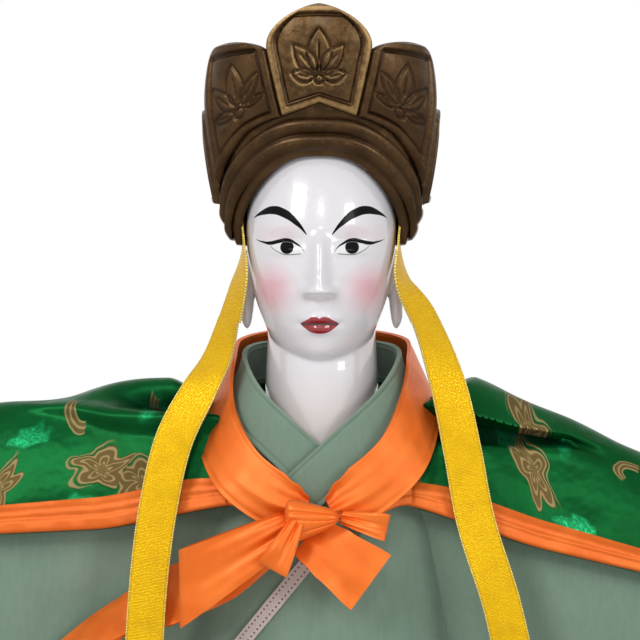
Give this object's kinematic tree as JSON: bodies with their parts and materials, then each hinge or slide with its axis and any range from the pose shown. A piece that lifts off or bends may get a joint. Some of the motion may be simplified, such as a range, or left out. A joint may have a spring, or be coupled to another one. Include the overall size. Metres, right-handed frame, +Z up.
{
  "type": "glove puppet",
  "caption": "Hand puppet of a robed monk: head in a leaf-panel crown, cloth glove body, wide-sleeved robe, brocade cape tied with a bow, ribbons, hollow hands, booted legs.",
  "frame": {"origin": "centre of the glove's mouth, where the operator's hand goes in", "axes": "+Z up from the mouth to the head, the face looks along -Y, +X is the puppet's own left"},
  "size_m": [0.3075, 0.0968, 0.4225],
  "materials": {
    "lacquer": "white gloss lacquer over carved wood",
    "crown": "bronze-coloured paint over moulded resin",
    "yellow_satin": "yellow satin ribbon",
    "orange_satin": "orange satin",
    "green_brocade": "green satin brocade",
    "sage_cotton": "grey-green cotton",
    "tape": "pale woven tape",
    "white_cotton": "white cotton cloth",
    "boot_cloth": "black cloth boot",
    "cord": "waxed thread cord"
  },
  "bodies": {
    "torso": {"tie_band": "orange_satin", "bow_knot": "orange_satin", "bow_loop_small": "orange_satin", "bow_tail_left": "orange_satin", "bow_tail_right": "orange_satin", "bow_loop_left": "orange_satin", "bow_loop_right": "orange_satin", "cape_hem_binding": "orange_satin", "cape_front_binding_left": "orange_satin", "cape_front_binding_right": "orange_satin", "cape_side_binding_left": "orange_satin", "cape_side_binding_right": "orange_satin", "cape": "green_brocade", "robe_body": "sage_cotton", "robe_collar_left": "sage_cotton", "robe_collar_right": "sage_cotton", "robe_tape": "tape", "glove_body": "white_cotton", "glove_hem": "white_cotton", "glove_neck": "white_cotton", "leg_tab_left": "white_cotton", "leg_tab_right": "white_cotton"},
    "neck": {"neck_cord": "cord"},
    "head": {"head": "lacquer", "crown_bowl": "crown", "crown_brim": "crown", "crown_cap": "crown", "crown_petal_front": "crown", "crown_petal_front_left": "crown", "crown_petal_front_right": "crown", "crown_petal_side_left": "crown", "crown_petal_side_right": "crown", "crown_ribbon_left": "yellow_satin", "crown_ribbon_right": "yellow_satin"},
    "arm_left": {"glove_arm_left": "white_cotton", "robe_sleeve_left": "sage_cotton"},
    "arm_right": {"glove_arm_right": "white_cotton", "robe_sleeve_right": "sage_cotton"},
    "hand_left": {"hand_left": "lacquer"},
    "hand_right": {"hand_right": "lacquer"},
    "leg_left": {"leg_left": "white_cotton", "boot_left": "boot_cloth", "boot_sole_left": "white_cotton"},
    "leg_right": {"leg_right": "white_cotton", "boot_right": "boot_cloth", "boot_sole_right": "white_cotton"}
  },
  "joints": [
    {"name": "head_nod", "type": "hinge", "parent": "torso", "child": "neck", "pos_m": [0, 0, 0.189], "axis": [1, 0, 0], "range_deg": [-8, 15], "deforming": ["glove_neck", "crown_ribbon_left", "crown_ribbon_right"]},
    {"name": "head_turn", "type": "hinge", "parent": "neck", "child": "head", "pos_m": [0, 0, 0.189], "axis": [0, 0, 1], "range_deg": [-25, 25], "deforming": ["glove_neck", "crown_ribbon_left", "crown_ribbon_right"]},
    {"name": "arm_raise_left", "type": "hinge", "parent": "torso", "child": "arm_left", "pos_m": [0.03, 0, 0.19], "axis": [0, -1, 0], "range_deg": [-35, 25], "deforming": ["glove_arm_left", "robe_sleeve_left", "cape", "cape_hem_binding", "cape_front_binding_left", "cape_front_binding_right", "cape_side_binding_left", "cape_side_binding_right"]},
    {"name": "hand_swing_left", "type": "hinge", "parent": "arm_left", "child": "hand_left", "pos_m": [0.07016, 0, 0.17772], "axis": [-0.2924, 0, -0.9563], "range_deg": [0, 60], "deforming": ["glove_arm_left", "robe_sleeve_left"]},
    {"name": "arm_raise_right", "type": "hinge", "parent": "torso", "child": "arm_right", "pos_m": [-0.03, 0, 0.19], "axis": [0, 1, 0], "range_deg": [-35, 25], "deforming": ["glove_arm_right", "robe_sleeve_right", "cape", "cape_hem_binding", "cape_front_binding_left", "cape_front_binding_right", "cape_side_binding_left", "cape_side_binding_right"]},
    {"name": "hand_swing_right", "type": "hinge", "parent": "arm_right", "child": "hand_right", "pos_m": [-0.07184, 0, 0.18634], "axis": [-0.0872, 0, 0.9962], "range_deg": [0, 60], "deforming": ["glove_arm_right", "robe_sleeve_right"]},
    {"name": "leg_swing_left", "type": "hinge", "parent": "torso", "child": "leg_left", "pos_m": [0.015, -0.014, -0.002], "axis": [1, 0, 0], "range_deg": [-12, 12], "deforming": ["leg_tab_left"]},
    {"name": "leg_swing_right", "type": "hinge", "parent": "torso", "child": "leg_right", "pos_m": [-0.015, -0.014, -0.002], "axis": [1, 0, 0], "range_deg": [-12, 12], "deforming": ["leg_tab_right"]}
  ]
}
